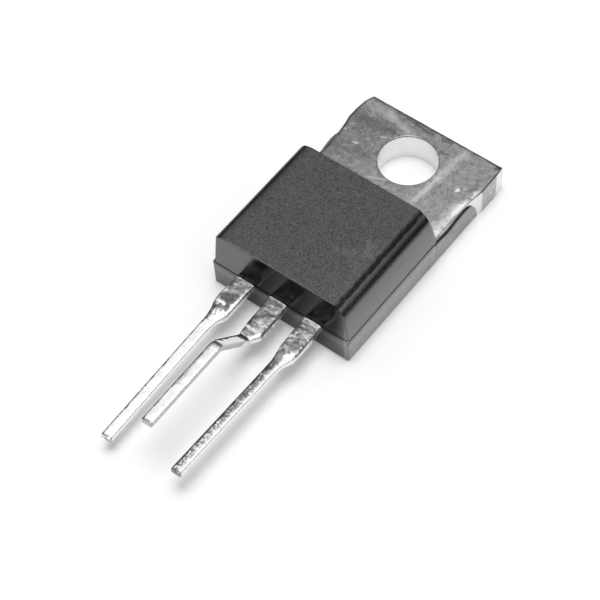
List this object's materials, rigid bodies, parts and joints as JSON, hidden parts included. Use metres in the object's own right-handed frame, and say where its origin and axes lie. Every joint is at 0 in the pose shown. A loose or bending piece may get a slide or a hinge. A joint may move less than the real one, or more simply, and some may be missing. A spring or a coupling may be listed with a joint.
{
  "type": "error amplifier ic",
  "caption": "Flat black moulded power package with a metal mounting tab with a hole and tinned leads, the centre one bent up, lying on its back.",
  "frame": {"origin": "axis of the mounting hole, on the back (mounting) face of the tab", "axes": "+Z along the hole out of the front face, +Y to the free end of the tab, leads towards -Y, +X to the right when the front is seen with the leads down"},
  "size_m": [0.0102, 0.0293, 0.0047],
  "materials": {
    "epoxy": "fine matte moulded epoxy, smoother on the near face",
    "tinned_frame": "tin-plated copper strip, dull and marked on the tab, solder-dipped on the leads",
    "silicon": "sawn silicon",
    "solder": "soft solder",
    "bond_wire": "drawn wire"
  },
  "bodies": {
    "root": {"moulded_body": "epoxy", "tab_and_centre_lead": "tinned_frame", "left_lead": "tinned_frame", "right_lead": "tinned_frame", "silicon_die": "silicon", "die_solder": "solder", "left_bond_wire": "bond_wire", "right_bond_wire": "bond_wire"}
  },
  "joints": []
}
